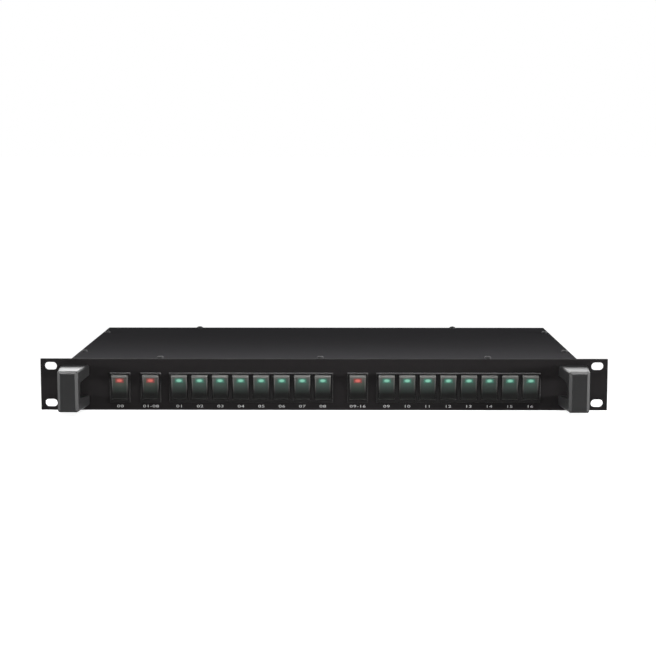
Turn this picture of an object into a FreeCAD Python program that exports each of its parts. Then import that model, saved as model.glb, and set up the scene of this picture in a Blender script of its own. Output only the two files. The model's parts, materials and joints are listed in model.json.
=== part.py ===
import FreeCAD, Part
import math
import os
import re

import Sketcher

# A one-unit, nineteen-inch rack selector: a slotted front panel with two bow
# handles, nineteen sprung push buttons with lit windows in five raised bezels,
# and a flat steel box behind it. Millimetres, +Z up, the front faces -Y.

Vector = FreeCAD.Vector
ACROSS, BACK, UP = Vector(1, 0, 0), Vector(0, 1, 0), Vector(0, 0, 1)

SIZES = {
    # Front panel and its rack slots.
    "panel_width": 482.6, "panel_height": 44.0, "panel_thickness": 3.0, "panel_bevel": 0.5,
    "slot_spacing_across": 465.1, "slot_spacing_up": 31.75, "slot_length": 10.6, "slot_height": 6.8,
    # Sheet steel box behind the panel.
    "box_width": 432.0, "box_height": 43.6, "box_depth": 236.0, "sheet": 1.2,
    "flange": 12.0, "rail_drop": 8.0, "rail_end_gap": 0.5, "cover_bevel": 0.4,
    # Handles.
    "handle_spacing": 424.0, "handle_reach": 39.0, "handle_height": 34.6, "handle_up": 21.4,
    "handle_base_width": 24.4, "handle_front_width": 16.8, "handle_leg": 8.6, "handle_bar": 8.0,
    "handle_leg_slope": 2.0, "handle_bevel": 2.2, "handle_edge": 1.2, "handle_gap_radius": 2.5,
    "handle_screw_inset": 4.0, "handle_screw_diameter": 4.0, "handle_screw_hole": 4.3,
    "handle_screw_grip": 9.0, "handle_screw_head": 7.0, "handle_screw_head_height": 2.6,
    # Push buttons.
    "cap_width": 13.4, "cap_height": 21.0, "cap_up": 19.9, "cap_reach": 5.0, "cap_foot": 1.2, "cap_edge": 0.4,
    "cap_flat": 5.3, "cap_crown": 2.0, "cap_gap": 0.3, "cap_rim": 1.1, "cap_rim_depth": 0.45,
    "cap_dip": 0.12, "cap_wall": 1.6, "cap_skin": 2.4, "cap_flange": 1.0, "cap_flange_thickness": 1.2,
    "cap_travel": 2.5, "stem_width": 4.2, "stem_down": 3.0, "stem_length": 11.3, "stem_clearance": 0.15,
    "stem_end_gap": 1.0,
    "window_width": 7.0, "window_height": 4.0, "window_thickness": 1.6, "window_up": 6.0,
    "window_proud": 0.1, "light_width": 5.4, "light_height": 3.2,
    # Where the buttons stand across the panel.
    "all_across": -173.6, "group_1_across": -147.4, "channel_1_across": -123.0,
    "group_2_across": 28.9, "channel_9_across": 53.5, "channel_pitch": 17.45,
    # Raised bezels round the button groups.
    "bezel_thickness": 1.0, "bezel_side": 2.0, "bezel_top": 1.9, "bezel_bottom": 2.9,
    "bezel_bevel": 0.45, "bezel_lip": 0.25,
    # Button board and its switch modules.
    "board_thickness": 1.6, "module_gap": 2.0, "button_board_width": 398.0,
    "button_board_height": 31.0, "module_width": 12.4, "module_height": 20.0, "module_depth": 9.0,
    "lamp_width": 4.0, "lamp_height": 2.0, "lamp_length": 5.3,
    # Spacers and pan head screws.
    "spacer_width": 5.0, "post_height": 7.2, "screw_diameter": 3.0, "screw_length": 6.0,
    "screw_head": 5.8, "screw_head_height": 1.9, "screw_hole": 3.4, "tapped_clearance": 0.05,
    "cover_screw_front": 9.0, "cover_screw_across": 140.0,
    "cover_screw_middle": -3.0, "cover_screw_side": 4.5, "cover_screw_near": 50.0,
    "cover_screw_far": 192.0, "cover_screw_rear_across": 125.0, "cover_screw_rear": 6.0,
    "rear_screw_side": 8.0, "rear_screw_low": 10.0, "rear_screw_high": 34.0,
    # Relay board.
    "relay_board_width": 292.0, "relay_board_depth": 96.0, "relay_board_across": -52.0,
    "relay_board_rear_gap": 1.0, "relay_board_margin": 6.0, "relay_width": 15.4, "relay_depth": 20.2,
    "relay_height": 15.2, "relay_pitch": 17.6, "relay_forward": 34.0,
    # Rear connectors.
    "connector_first": -161.0, "connector_pitch": 62.0, "connector_up": 17.5,
    "connector_plate_width": 53.0, "connector_plate_height": 12.5, "connector_plate": 0.9,
    "connector_shell_top": 39.0, "connector_shell_bottom": 36.2, "connector_shell_height": 8.4,
    "connector_shell_reach": 5.8, "connector_shell_gap": 0.6, "connector_shell_corner": 2.4,
    "connector_body_width": 41.0, "connector_body_depth": 10.0, "connector_post_spacing": 47.04,
    "connector_post_width": 4.8, "connector_post_reach": 6.2, "connector_post_bore": 2.5,
    "connector_post_bore_depth": 5.0,
    # Mains inlet.
    "inlet_across": 182.0, "inlet_up": 21.5, "inlet_bezel_width": 31.0, "inlet_bezel_height": 24.4,
    "inlet_bezel": 2.4, "inlet_body_width": 27.4, "inlet_body_height": 20.4, "inlet_body_depth": 16.0,
    "inlet_gap": 0.2, "inlet_socket_width": 24.2, "inlet_socket_height": 16.8, "inlet_socket_depth": 15.0,
    "inlet_socket_corner": 4.4, "inlet_pin_width": 2.0, "inlet_pin_height": 4.0, "inlet_pin_length": 10.0,
    "inlet_pin_pitch": 7.0, "inlet_pin_up": 3.6, "inlet_earth_down": 0.4,
    # Transformer.
    "transformer_across": 150.0, "transformer_setback": 96.0, "transformer_width": 56.0,
    "transformer_depth": 47.0, "transformer_height": 32.0, "transformer_corner": 4.0,
    "transformer_lug_reach": 9.0, "transformer_lug_width": 9.0, "transformer_lug_height": 5.0,
    # Flat cable between the boards.
    "cable_across": -88.0, "cable_width": 25.4, "cable_thickness": 1.0, "cable_bend": 6.0,
    "plug_width": 31.0, "plug_depth": 6.0, "plug_length": 9.0, "plug_up": 27.0, "plug_drop": 3.0,
    "cable_board_inset": 8.0,
}

doc = FreeCAD.newDocument("rack_selector")
sheet = doc.addObject("Spreadsheet::Sheet", "sizes")
for row, (alias, number) in enumerate(SIZES.items(), start=1):
    sheet.set(f"A{row}", alias)
    sheet.set(f"B{row}", str(number))
    sheet.setAlias(f"B{row}", alias)
doc.recompute()

nodes = []


def cells(text):
    """Turn plain size names into references to the sheet's cells."""
    return re.sub(r"[a-z]\w*", lambda word: ("sizes." if word.group() in SIZES else "") + word.group(), text)


def value(text):
    """Work out an expression in the sheet's sizes."""
    return float(sheet.evalExpression(cells(text)))


def bind(item, prop, text):
    item.setExpression(prop, cells(text))


def place(item, across="0", back="0", up="0"):
    for axis, text in (("x", across), ("y", back), ("z", up)):
        bind(item, f"Placement.Base.{axis}", text)


def keep(item, label):
    """Name a finished sub-part and list it for writing."""
    item.Label = label
    nodes.append(item)
    return item


def new_body(name, across="0", back="0", up="0"):
    body = doc.addObject("PartDesign::Body", name)
    place(body, across, back, up)
    return keep(body, name)


def new_sketch(body, name, plane, offset=None):
    """Sketch on one of the body's own origin planes, moved along its normal."""
    sketch = body.newObject("Sketcher::SketchObject", f"{body.Name}_{name}")
    origin = [item for item in body.Origin.OriginFeatures if item.Role == plane][0]
    sketch.AttachmentSupport = [(origin, "")]
    sketch.MapMode = "FlatFace"
    if offset:
        bind(sketch, "AttachmentOffset.Base.z", offset)
    return sketch


def pin_point(sketch, curve, end, across, up):
    for kind, text in (("DistanceX", across), ("DistanceY", up)):
        number = sketch.addConstraint(Sketcher.Constraint(kind, -1, 1, curve, end, value(text)))
        bind(sketch, f"Constraints[{number}]", text)


def set_radius(sketch, curve, text):
    number = sketch.addConstraint(Sketcher.Constraint("Radius", curve, value(text)))
    bind(sketch, f"Constraints[{number}]", text)


def outline(sketch, corners, bends=None):
    """Closed outline through corners, each pinned by its two distances.

    bends gives some stretches a radius, with +1 where the centre lies on the
    left of the way along the outline and -1 where it lies on the right.
    """
    bends = bends or {}
    spots = [Vector(value(across), value(up), 0) for across, up in corners]
    joints = []
    for number, start in enumerate(spots):
        finish = spots[(number + 1) % len(spots)]
        if number not in bends:
            joints.append((sketch.addGeometry(Part.LineSegment(start, finish), False), 1, 2))
            continue
        text, side = bends[number]
        chord = finish - start
        left = Vector(-chord.y, chord.x, 0).normalize()
        rise = math.sqrt(max(value(text) ** 2 - (chord.Length / 2) ** 2, 0))
        centre = (start + finish) * 0.5 + left * (rise * side)
        first, last = start - centre, finish - centre
        if side < 0:
            first, last = last, first
        arc = Part.ArcOfCircle(Part.Circle(centre, UP, value(text)),
                               math.atan2(first.y, first.x), math.atan2(last.y, last.x))
        joints.append((sketch.addGeometry(arc, False), 1 if side > 0 else 2, 2 if side > 0 else 1))
    for number, (curve, _, end) in enumerate(joints):
        other, begin, _ = joints[(number + 1) % len(joints)]
        sketch.addConstraint(Sketcher.Constraint("Coincident", curve, end, other, begin))
    for (curve, begin, _), (across, up) in zip(joints, corners):
        pin_point(sketch, curve, begin, across, up)
    for number, (text, _) in bends.items():
        set_radius(sketch, joints[number][0], text)


def rectangle(sketch, left, low, right, high):
    outline(sketch, [(left, low), (right, low), (right, high), (left, high)])


def centred(sketch, across, up, width, height):
    rectangle(sketch, f"{across} - ({width}) / 2", f"{up} - ({height}) / 2",
              f"{across} + ({width}) / 2", f"{up} + ({height}) / 2")


def screw_hole(sketch, across, up, radius):
    """Hole for a screw, as eight flats that touch a circle of its radius."""
    turns = [math.pi * (2 * number + 1) / 8 for number in range(8)]
    reach = 1 / math.cos(math.pi / 8)
    outline(sketch, [(f"{across} + {reach * math.cos(turn):.9f} * {radius}",
                      f"{up} + {reach * math.sin(turn):.9f} * {radius}") for turn in turns])


def slot(sketch, across, up, length, height):
    """Slot whose round ends are quarter arcs."""
    radius, run = f"({height}) / 2", f"(({length}) - ({height})) / 2"
    corners = [(f"{across} - {run}", f"{up} - {radius}"), (f"{across} + {run}", f"{up} - {radius}"),
               (f"{across} + ({length}) / 2", up), (f"{across} + {run}", f"{up} + {radius}"),
               (f"{across} - {run}", f"{up} + {radius}"), (f"{across} - ({length}) / 2", up)]
    outline(sketch, corners, {number: (radius, 1) for number in (1, 2, 4, 5)})


def feature(body, kind, sketch, length, reverse=False, both_sides=False):
    """Pad or pocket a sketch, and check that the solid grew or shrank."""
    doc.recompute()
    before = body.Shape.Volume if body.Tip else 0.0
    item = body.newObject(f"PartDesign::{kind}", f"{sketch.Name}_{kind.lower()}")
    item.Profile = sketch
    if length:
        bind(item, "Length", length)
    else:
        item.Type = "ThroughAll"
    item.Reversed = reverse
    if both_sides:
        item.SideType = "Symmetric"
    sketch.Visibility = False
    doc.recompute()
    change = body.Shape.Volume - before
    if (change <= 0) == (kind == "Pad"):
        raise RuntimeError(f"{item.Name} changed nothing")
    return item


def pad(body, sketch, length, **options):
    return feature(body, "Pad", sketch, length, **options)


def pocket(body, sketch, length=None, **options):
    return feature(body, "Pocket", sketch, length, **options)


def dress(body, kind, size, chosen):
    """Fillet or chamfer the edges of the body's shape that the test accepts."""
    doc.recompute()
    base = body.Tip
    names = [f"Edge{number}" for number, edge in enumerate(base.Shape.Edges, start=1) if chosen(edge)]
    if not names:
        raise RuntimeError(f"{body.Name} has no edge for its {kind.lower()}")
    item = body.newObject(f"PartDesign::{kind}", f"{base.Name}_{kind.lower()}")
    item.Base = (base, names)
    bind(item, "Radius" if kind == "Fillet" else "Size", size)
    doc.recompute()
    return item


def near(first, second):
    return abs(first - second) < 1e-4


def along(edge, direction):
    """Whether a straight edge runs along a direction."""
    if len(edge.Vertexes) != 2:
        return False
    run = edge.Vertexes[1].Point - edge.Vertexes[0].Point
    return near(abs(run.dot(direction)), run.Length) and run.Length > 0


def cylinder(radius, length, base, direction):
    return Part.makeCylinder(value(radius), value(length), base, direction)


def spot(across, back, up):
    return Vector(value(across), value(back), value(up))


def box(across, front, up, width, depth, height):
    """Block centred across and up, whose front face is at a depth."""
    corner = spot(f"{across} - ({width}) / 2", front, f"{up} - ({height}) / 2")
    return Part.makeBox(value(width), value(depth), value(height), corner)


def prism(sides, radius, length, base, direction):
    """Straight bar with flat sides, its corners at a radius from its axis."""
    first = UP if abs(direction.z) < 0.5 else ACROSS
    second = direction.cross(first)
    turns = [2 * math.pi * number / sides for number in range(sides)]
    points = [base + first * (radius * math.cos(turn)) + second * (radius * math.sin(turn)) for turn in turns]
    return Part.Face(Part.makePolygon(points + points[:1])).extrude(direction * value(length))


def hexagon(width, length, base, direction):
    """Six-sided bar of a width across its flats."""
    return prism(6, value(width) / math.sqrt(3), length, base, direction)


def shank(radius, length, base, direction):
    """Screw's thread, as a plain bar with eight flats inside its diameter."""
    return prism(8, value(radius), length, base, direction)


def group(label, solids):
    """Several like solids kept as one sub-part."""
    item = doc.addObject("Part::Feature", label)
    item.Shape = Part.makeCompound(solids)
    return keep(item, label)


# Places that several pieces share.
PANEL_FACE = "((handle_reach - box_depth - connector_post_reach) / 2)"
PANEL_BACK = f"({PANEL_FACE} + panel_thickness)"
REAR_FACE = f"({PANEL_FACE} + box_depth)"
REAR_INNER = f"({REAR_FACE} - sheet)"
COVER_UNDER = "(box_height - sheet)"
HALF_BOX = "(box_width / 2)"
CAP_BACK = "(panel_thickness + cap_gap)"
CAP_REAR = f"({CAP_BACK} + cap_flange_thickness)"
HOLLOW_FLOOR = "(cap_skin - cap_foot)"
MODULE_SETBACK = f"({CAP_REAR} + cap_travel + module_gap)"
BOARD_FRONT = f"({PANEL_FACE} + {MODULE_SETBACK} + module_depth)"
BOARD_BACK = f"({BOARD_FRONT} + board_thickness)"
RELAY_BOARD_UNDER = "(sheet + post_height)"
RELAY_BOARD_TOP = f"({RELAY_BOARD_UNDER} + board_thickness)"
RELAY_BOARD_REAR = f"({REAR_INNER} - connector_plate - relay_board_rear_gap)"
RELAY_BOARD_FRONT = f"({RELAY_BOARD_REAR} - relay_board_depth)"
SCREW_RADIUS = "(screw_diameter / 2)"
TAPPED_RADIUS = f"({SCREW_RADIUS} + tapped_clearance)"
CLEAR_RADIUS = "(screw_hole / 2)"
HANDLE_SCREW_UP = "((handle_height - handle_leg) / 2)"
HANDLE_SCREW_RADIUS = "(handle_screw_diameter / 2)"

CHANNELS_PER_GROUP = 8
BUTTONS = [("all", "all_across"), ("group_1", "group_1_across"), ("group_2", "group_2_across")]
for first in (1, 1 + CHANNELS_PER_GROUP):
    for number in range(CHANNELS_PER_GROUP):
        BUTTONS.append((f"channel_{first + number}", f"(channel_{first}_across + {number} * channel_pitch)"))
LAST_IN_GROUP = f"{CHANNELS_PER_GROUP - 1} * channel_pitch"
BEZELS = [("all_across", "all_across"), ("group_1_across", "group_1_across"),
          ("channel_1_across", f"(channel_1_across + {LAST_IN_GROUP})"),
          ("group_2_across", "group_2_across"),
          ("channel_9_across", f"(channel_9_across + {LAST_IN_GROUP})")]

# Spacers of the button board stand between the groups and past their ends.
BOARD_SPACERS = ["(all_across - channel_pitch)", "((all_across + group_1_across) / 2)",
                 f"((channel_1_across + {LAST_IN_GROUP} + group_2_across) / 2)",
                 f"(channel_9_across + {LAST_IN_GROUP} + channel_pitch)"]

# Screws of the cover by edge, and of the rear panel, which has two at each end.
FRONT_SCREWS = ["(0 - cover_screw_across)", "cover_screw_middle", "cover_screw_across"]
SIDE_SCREWS = ["cover_screw_near", "cover_screw_far"]
SIDE_SCREWS_OUT = f"({HALF_BOX} - cover_screw_side)"
BACK_SCREWS = ["(0 - cover_screw_rear_across)", "cover_screw_rear_across"]
REAR_SCREWS = ["rear_screw_low", "rear_screw_high"]
CONNECTORS = [f"(connector_first + {number} * connector_pitch)" for number in range(4)]
RELAYS = [f"(relay_board_across + ({number} - 7.5) * relay_pitch)" for number in range(16)]
POSTS = [(f"(relay_board_across + {side} * (relay_board_width / 2 - relay_board_margin))", back)
         for side in (-1, 0, 1)
         for back in (f"({RELAY_BOARD_FRONT} + relay_board_margin)",
                      f"({RELAY_BOARD_REAR} - connector_body_depth - relay_board_margin)")]


def cap_openings(sketch):
    for _, across in BUTTONS:
        centred(sketch, across, "cap_up", "cap_width + 2 * cap_gap", "cap_height + 2 * cap_gap")


def build_front_panel():
    body = new_body("front_panel", back=PANEL_FACE)
    sketch = new_sketch(body, "plate", "XZ_Plane")
    centred(sketch, "0", "panel_height / 2", "panel_width", "panel_height")
    pad(body, sketch, "panel_thickness", reverse=True)
    dress(body, "Chamfer", "panel_bevel", lambda edge: near(edge.BoundBox.YMax, value(PANEL_FACE))
          or near(edge.BoundBox.YMax, 0))
    sketch = new_sketch(body, "rack_slots", "XZ_Plane")
    for side in (-1, 1):
        for level in (-1, 1):
            slot(sketch, f"{side} * slot_spacing_across / 2",
                 f"(panel_height / 2 + {level} * slot_spacing_up / 2)", "slot_length", "slot_height")
    pocket(body, sketch)
    sketch = new_sketch(body, "button_openings", "XZ_Plane")
    cap_openings(sketch)
    pocket(body, sketch)
    sketch = new_sketch(body, "handle_holes", "XZ_Plane")
    for side in (-1, 1):
        for level in (-1, 1):
            screw_hole(sketch, f"{side} * (handle_spacing / 2 - handle_screw_inset)",
                   f"(handle_up + {level} * {HANDLE_SCREW_UP})", "(handle_screw_hole / 2)")
    pocket(body, sketch)


def build_bezels():
    body = new_body("group_bezels", back=PANEL_FACE)
    sketch = new_sketch(body, "frames", "XZ_Plane")
    for first, last in BEZELS:
        rectangle(sketch, f"{first} - cap_width / 2 - bezel_side", "cap_up - cap_height / 2 - bezel_bottom",
                  f"{last} + cap_width / 2 + bezel_side", "cap_up + cap_height / 2 + bezel_top")
    cap_openings(sketch)
    pad(body, sketch, "bezel_thickness")
    low, high = value("cap_up - cap_height / 2 - cap_gap"), value("cap_up + cap_height / 2 + cap_gap")

    def of_opening(edge):
        return edge.BoundBox.ZMin > low - 1e-3 and edge.BoundBox.ZMax < high + 1e-3

    def in_front(edge):
        return near(edge.BoundBox.YMax, value("0 - bezel_thickness"))

    dress(body, "Chamfer", "bezel_bevel", lambda edge: in_front(edge) and not of_opening(edge))
    dress(body, "Chamfer", "bezel_lip", lambda edge: in_front(edge) and of_opening(edge))


def build_handle(name, side):
    body = new_body(name, f"{side} * handle_spacing / 2", PANEL_FACE, "handle_up")
    sketch = new_sketch(body, "plan", "XY_Plane")
    outline(sketch, [("0 - handle_base_width / 2", "0"), ("0 - handle_front_width / 2", "0 - handle_reach"),
                     ("handle_front_width / 2", "0 - handle_reach"), ("handle_base_width / 2", "0")])
    pad(body, sketch, "handle_height", both_sides=True)
    front = value("0 - handle_reach")
    dress(body, "Chamfer", "handle_bevel", lambda edge: near(edge.BoundBox.YMax, front))
    half = value("handle_height / 2")
    dress(body, "Chamfer", "handle_edge", lambda edge: near(abs(edge.BoundBox.Center.z), half)
          and edge.BoundBox.YLength > value("handle_reach / 2"))
    sketch = new_sketch(body, "finger_gap", "YZ_Plane")
    mouth = "(handle_height / 2 - handle_leg)"
    inner = f"({mouth} - handle_leg_slope)"
    depth = "(handle_bar - handle_reach)"
    outline(sketch, [("0", f"0 - {mouth}"), ("0", mouth), (depth, inner), (depth, f"0 - {inner}")])
    pocket(body, sketch, both_sides=True)
    dress(body, "Fillet", "handle_gap_radius", lambda edge: near(edge.BoundBox.YMax, value(depth))
          and near(edge.BoundBox.YMin, value(depth)) and near(edge.BoundBox.ZLength, 0)
          and near(abs(edge.BoundBox.Center.z), value(inner)))
    sketch = new_sketch(body, "screw_holes", "XZ_Plane")
    for level in (-1, 1):
        screw_hole(sketch, f"{-side} * handle_screw_inset", f"{level} * {HANDLE_SCREW_UP}",
               f"({HANDLE_SCREW_RADIUS} + tapped_clearance)")
    pocket(body, sketch, "handle_screw_grip + 1", reverse=True)


def build_handle_screws():
    solids = []
    for side in (-1, 1):
        for level in (-1, 1):
            seat = spot(f"{side} * (handle_spacing / 2 - handle_screw_inset)", f"{PANEL_BACK} + sheet",
                        f"handle_up + {level} * {HANDLE_SCREW_UP}")
            thread = shank(HANDLE_SCREW_RADIUS, "handle_screw_grip + panel_thickness + sheet", seat, -BACK)
            head = hexagon("handle_screw_head", "handle_screw_head_height", seat, BACK)
            solids.append(thread.fuse(head).removeSplitter())
    group("handle_screws", solids)


# A cap's side view, measured outwards from the panel's face and up from its middle.
FLAT_TOP = "(cap_flat - cap_height / 2)"
RIDGE = "(cap_height / 2 - cap_crown)"


def hollow_radius(rise):
    """Radius of a hollow face that starts upright above the flat and rises to the ridge."""
    return f"((({rise})^2 + ({RIDGE} - {FLAT_TOP})^2) / (2 * ({rise})))"


SCOOP_REACH = "(cap_reach - cap_rim_depth)"
SCOOP_RADIUS = hollow_radius(f"{SCOOP_REACH} - cap_foot + cap_dip")
SCOOP_LOW = f"({FLAT_TOP} - sqrt({SCOOP_RADIUS}^2 - ({SCOOP_RADIUS} - cap_dip)^2))"


def scoop_at(up):
    """How far the scooped face stands out at a height."""
    return f"(cap_foot - cap_dip + {SCOOP_RADIUS} - sqrt({SCOOP_RADIUS}^2 - ({up} - {FLAT_TOP})^2))"


WINDOW_LOW = "(window_up - window_height / 2)"
WINDOW_HIGH = "(window_up + window_height / 2)"


def window_block(sketch, front, back):
    """Slanted block behind the hollow face, between two depths below it."""
    outline(sketch, [(f"0 - {scoop_at(WINDOW_LOW)} - ({front})", WINDOW_LOW),
                     (f"0 - {scoop_at(WINDOW_HIGH)} - ({front})", WINDOW_HIGH),
                     (f"0 - {scoop_at(WINDOW_HIGH)} + {back}", WINDOW_HIGH),
                     (f"0 - {scoop_at(WINDOW_LOW)} + {back}", WINDOW_LOW)])


def build_cap(name, across):
    body = new_body(f"button_{name}", across, PANEL_FACE, "cap_up")
    half = "(cap_height / 2)"
    sketch = new_sketch(body, "side_view", "YZ_Plane")
    outline(sketch, [(CAP_BACK, f"0 - {half}"), ("0 - cap_foot", f"0 - {half}"), ("0 - cap_foot", FLAT_TOP),
                     ("0 - cap_reach", RIDGE), ("cap_crown - cap_reach", half), (CAP_BACK, half)],
            {2: (hollow_radius("cap_reach - cap_foot"), 1), 3: ("cap_crown", -1)})
    pad(body, sketch, "cap_width", both_sides=True)
    foot = value("0 - cap_foot")
    dress(body, "Chamfer", "cap_edge", lambda edge: near(edge.BoundBox.YMax, foot)
          and near(edge.BoundBox.ZMax, value(f"0 - {half}")))
    sketch = new_sketch(body, "scoop", "YZ_Plane")
    outline(sketch, [("0 - cap_foot", SCOOP_LOW), (f"0 - {SCOOP_REACH}", RIDGE),
                     ("0 - cap_reach - cap_crown", RIDGE), ("0 - cap_reach - cap_crown", SCOOP_LOW)],
            {0: (SCOOP_RADIUS, 1)})
    pocket(body, sketch, "cap_width - 2 * cap_rim", both_sides=True)
    sketch = new_sketch(body, "window_seat", "YZ_Plane")
    window_block(sketch, "cap_rim_depth", "window_thickness")
    pocket(body, sketch, "window_width", both_sides=True)
    sketch = new_sketch(body, "flange", "XZ_Plane", f"0 - {CAP_BACK}")
    centred(sketch, "0", "0", "cap_width + 2 * cap_flange", "cap_height + 2 * cap_flange")
    pad(body, sketch, "cap_flange_thickness", reverse=True)
    sketch = new_sketch(body, "hollow", "XZ_Plane", f"0 - {HOLLOW_FLOOR}")
    centred(sketch, "0", "0", "cap_width - 2 * cap_wall", "cap_height - 2 * cap_wall")
    pocket(body, sketch, f"{CAP_REAR} - {HOLLOW_FLOOR}")
    sketch = new_sketch(body, "light_opening", "XZ_Plane", f"0 - {HOLLOW_FLOOR}")
    centred(sketch, "0", "window_up", "light_width", "light_height")
    pocket(body, sketch, f"{HOLLOW_FLOOR} + {scoop_at('window_up')} - window_thickness", reverse=True)
    sketch = new_sketch(body, "stem", "XZ_Plane", f"0 - {HOLLOW_FLOOR}")
    centred(sketch, "0", "0 - stem_down", "stem_width", "stem_width")
    pad(body, sketch, "stem_length", reverse=True)


def build_window(name, across):
    body = new_body(f"window_{name}", across, PANEL_FACE, "cap_up")
    sketch = new_sketch(body, "side_view", "YZ_Plane")
    window_block(sketch, "window_proud", "window_thickness")
    pad(body, sketch, "window_width", both_sides=True)


def build_cover():
    body = new_body("top_cover", back=PANEL_BACK, up=COVER_UNDER)
    sketch = new_sketch(body, "plate", "XY_Plane")
    rectangle(sketch, f"0 - {HALF_BOX}", "0", HALF_BOX, "box_depth - panel_thickness")
    pad(body, sketch, "sheet")
    dress(body, "Chamfer", "cover_bevel", lambda edge: near(edge.BoundBox.ZMin, value("sheet")))
    sketch = new_sketch(body, "screw_holes", "XY_Plane")
    for across in FRONT_SCREWS:
        screw_hole(sketch, across, "cover_screw_front - panel_thickness", CLEAR_RADIUS)
    for side in (-1, 1):
        for back in SIDE_SCREWS:
            screw_hole(sketch, f"{side} * {SIDE_SCREWS_OUT}", f"{back} - panel_thickness", CLEAR_RADIUS)
    for across in BACK_SCREWS:
        screw_hole(sketch, across, "box_depth - panel_thickness - cover_screw_rear", CLEAR_RADIUS)
    pocket(body, sketch, reverse=True)


def build_side(name, side):
    """Channel with a flange at the top and bottom, and a tab at each end."""
    body = new_body(name, back=PANEL_BACK)
    outer, web, tip = (f"{side} * ({HALF_BOX} - {inset})" for inset in ("0", "sheet", "flange"))
    low, high = "sheet", COVER_UNDER
    sketch = new_sketch(body, "section", "XZ_Plane")
    outline(sketch, [(outer, low), (outer, high), (tip, high), (tip, f"{high} - sheet"),
                     (web, f"{high} - sheet"), (web, f"{low} + sheet"), (tip, f"{low} + sheet"), (tip, low)])
    length = f"(box_depth - panel_thickness - sheet)"
    pad(body, sketch, length, reverse=True)
    for tab, start in (("front_tab", "0"), ("rear_tab", f"{length} - sheet")):
        sketch = new_sketch(body, tab, "XZ_Plane", f"0 - ({start})")
        outline(sketch, [(outer, f"{low} + sheet / 2"), (outer, f"{high} - sheet / 2"),
                         (tip, f"{high} - sheet / 2"), (tip, f"{low} + sheet / 2")])
        pad(body, sketch, "sheet", reverse=True)
    sketch = new_sketch(body, "handle_holes", "XZ_Plane")
    for level in (-1, 1):
        screw_hole(sketch, f"{side} * (handle_spacing / 2 - handle_screw_inset)",
               f"handle_up + {level} * {HANDLE_SCREW_UP}", "(handle_screw_hole / 2)")
    pocket(body, sketch, "sheet")
    sketch = new_sketch(body, "rear_holes", "XZ_Plane", f"0 - ({length} - sheet)")
    for up in REAR_SCREWS:
        screw_hole(sketch, f"{side} * ({HALF_BOX} - rear_screw_side)", up, TAPPED_RADIUS)
    pocket(body, sketch, "sheet")
    sketch = new_sketch(body, "cover_holes", "XY_Plane", COVER_UNDER)
    for back in SIDE_SCREWS:
        screw_hole(sketch, f"{side} * {SIDE_SCREWS_OUT}", f"{back} - panel_thickness", TAPPED_RADIUS)
    pocket(body, sketch, "sheet")


def build_base():
    body = new_body("base_plate", back=PANEL_BACK)
    sketch = new_sketch(body, "plate", "XY_Plane")
    rectangle(sketch, f"0 - {HALF_BOX}", "0", HALF_BOX, "box_depth - panel_thickness")
    pad(body, sketch, "sheet")


def build_rear_panel():
    body = new_body("rear_panel", back=REAR_INNER)
    sketch = new_sketch(body, "plate", "XZ_Plane")
    rectangle(sketch, f"0 - {HALF_BOX}", "sheet", HALF_BOX, COVER_UNDER)
    pad(body, sketch, "sheet", reverse=True)
    sketch = new_sketch(body, "flange", "XZ_Plane")
    reach = f"({HALF_BOX} - flange - rail_end_gap)"
    rectangle(sketch, f"0 - {reach}", f"{COVER_UNDER} - sheet", reach, COVER_UNDER)
    pad(body, sketch, "flange")
    sketch = new_sketch(body, "connector_openings", "XZ_Plane")
    for across in CONNECTORS:
        shell_outline(sketch, across, "connector_up", "connector_shell_gap")
    pocket(body, sketch)
    sketch = new_sketch(body, "inlet_opening", "XZ_Plane")
    centred(sketch, "inlet_across", "inlet_up", "inlet_body_width + 2 * inlet_gap",
            "inlet_body_height + 2 * inlet_gap")
    pocket(body, sketch)
    sketch = new_sketch(body, "rear_holes", "XZ_Plane")
    for side in (-1, 1):
        for up in REAR_SCREWS:
            screw_hole(sketch, f"{side} * ({HALF_BOX} - rear_screw_side)", up, CLEAR_RADIUS)
    pocket(body, sketch)
    sketch = new_sketch(body, "cover_holes", "XY_Plane", COVER_UNDER)
    for across in BACK_SCREWS:
        screw_hole(sketch, across, "sheet - cover_screw_rear", TAPPED_RADIUS)
    pocket(body, sketch, "sheet")


def build_front_rail():
    body = new_body("front_rail", back=PANEL_BACK, up=COVER_UNDER)
    sketch = new_sketch(body, "section", "YZ_Plane")
    outline(sketch, [("0", "0"), ("flange", "0"), ("flange", "0 - sheet"), ("sheet", "0 - sheet"),
                     ("sheet", "0 - rail_drop"), ("0", "0 - rail_drop")])
    pad(body, sketch, f"2 * ({HALF_BOX} - flange - rail_end_gap)", both_sides=True)
    sketch = new_sketch(body, "cover_holes", "XY_Plane")
    for across in FRONT_SCREWS:
        screw_hole(sketch, across, "cover_screw_front - panel_thickness", TAPPED_RADIUS)
    pocket(body, sketch, "sheet")


def build_button_board():
    body = new_body("button_board", back=BOARD_FRONT)
    sketch = new_sketch(body, "plate", "XZ_Plane")
    centred(sketch, "0", "cap_up", "button_board_width", "button_board_height")
    pad(body, sketch, "board_thickness", reverse=True)


def build_switch_modules():
    """Switches, each with the guide for a stem and the flat lamp that shines into the cap."""
    front = f"({PANEL_FACE} + {MODULE_SETBACK})"
    guide_depth = f"{HOLLOW_FLOOR} + stem_length + cap_travel + stem_end_gap - {MODULE_SETBACK}"
    solids = []
    for _, across in BUTTONS:
        block = box(across, front, "cap_up", "module_width", "module_depth", "module_height")
        guide = box(across, front, "(cap_up - stem_down)", "stem_width + 2 * stem_clearance",
                    guide_depth, "stem_width + 2 * stem_clearance")
        lamp = box(across, f"({front} - lamp_length)", "(cap_up + window_up)",
                   "lamp_width", "lamp_length", "lamp_height")
        solids.append(block.cut(guide).fuse(lamp).removeSplitter())
    group("switch_modules", solids)


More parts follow.
